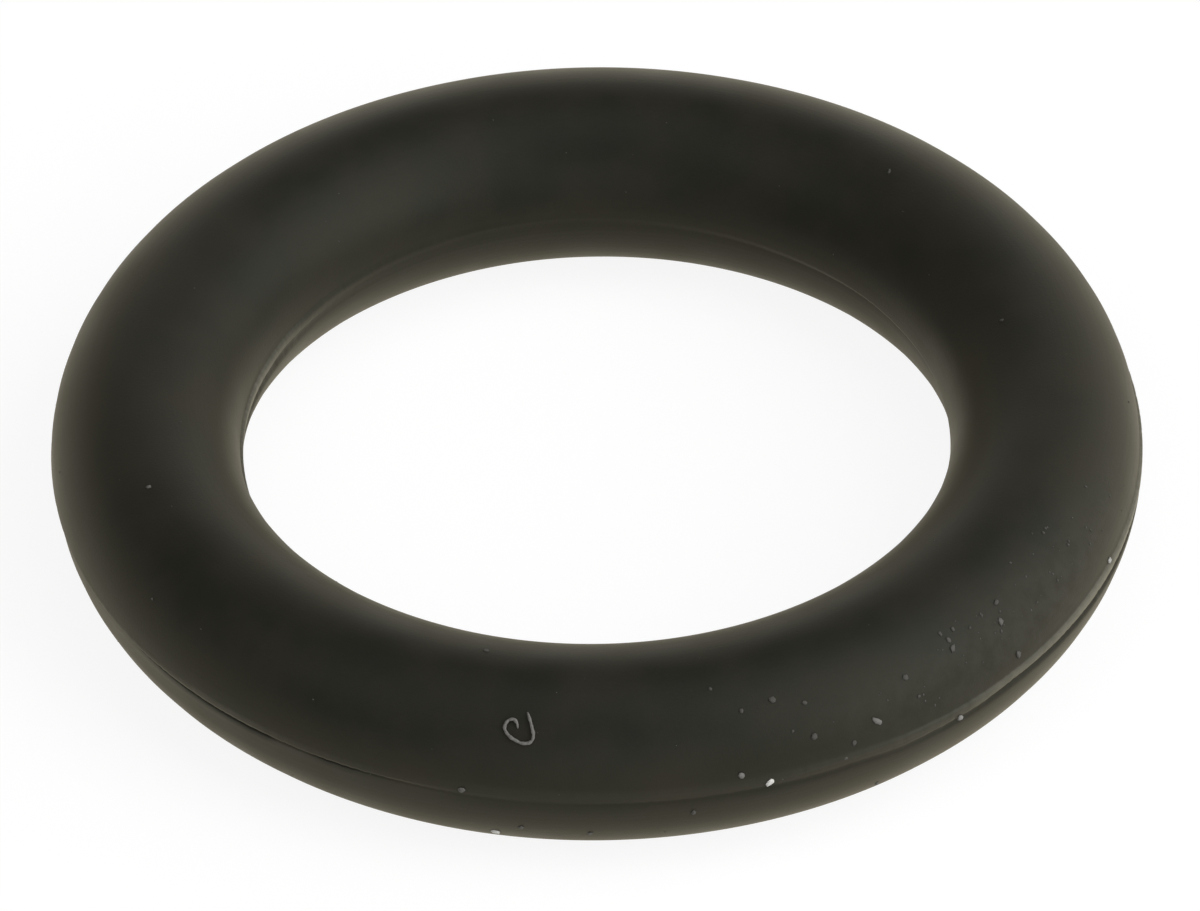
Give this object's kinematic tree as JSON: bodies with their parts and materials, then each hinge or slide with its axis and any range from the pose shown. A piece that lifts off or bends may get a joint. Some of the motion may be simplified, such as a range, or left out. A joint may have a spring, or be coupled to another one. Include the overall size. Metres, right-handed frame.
{
  "type": "o-ring",
  "caption": "Moulded black rubber sealing ring of round section, with a fine trimmed parting line round its bore and its rim.",
  "frame": {"origin": "centre of the ring, on its axis, in the plane of the mould's parting line", "axes": "+Z along the ring's axis, +X along the sideways shift of the lower mould half, so that the upper half section sits a little towards -X"},
  "size_m": [0.017, 0.017, 0.003],
  "materials": {
    "rubber": "matt black moulded nitrile rubber, faintly dusty"
  },
  "bodies": {
    "root": {"o_ring": "rubber"}
  },
  "joints": []
}
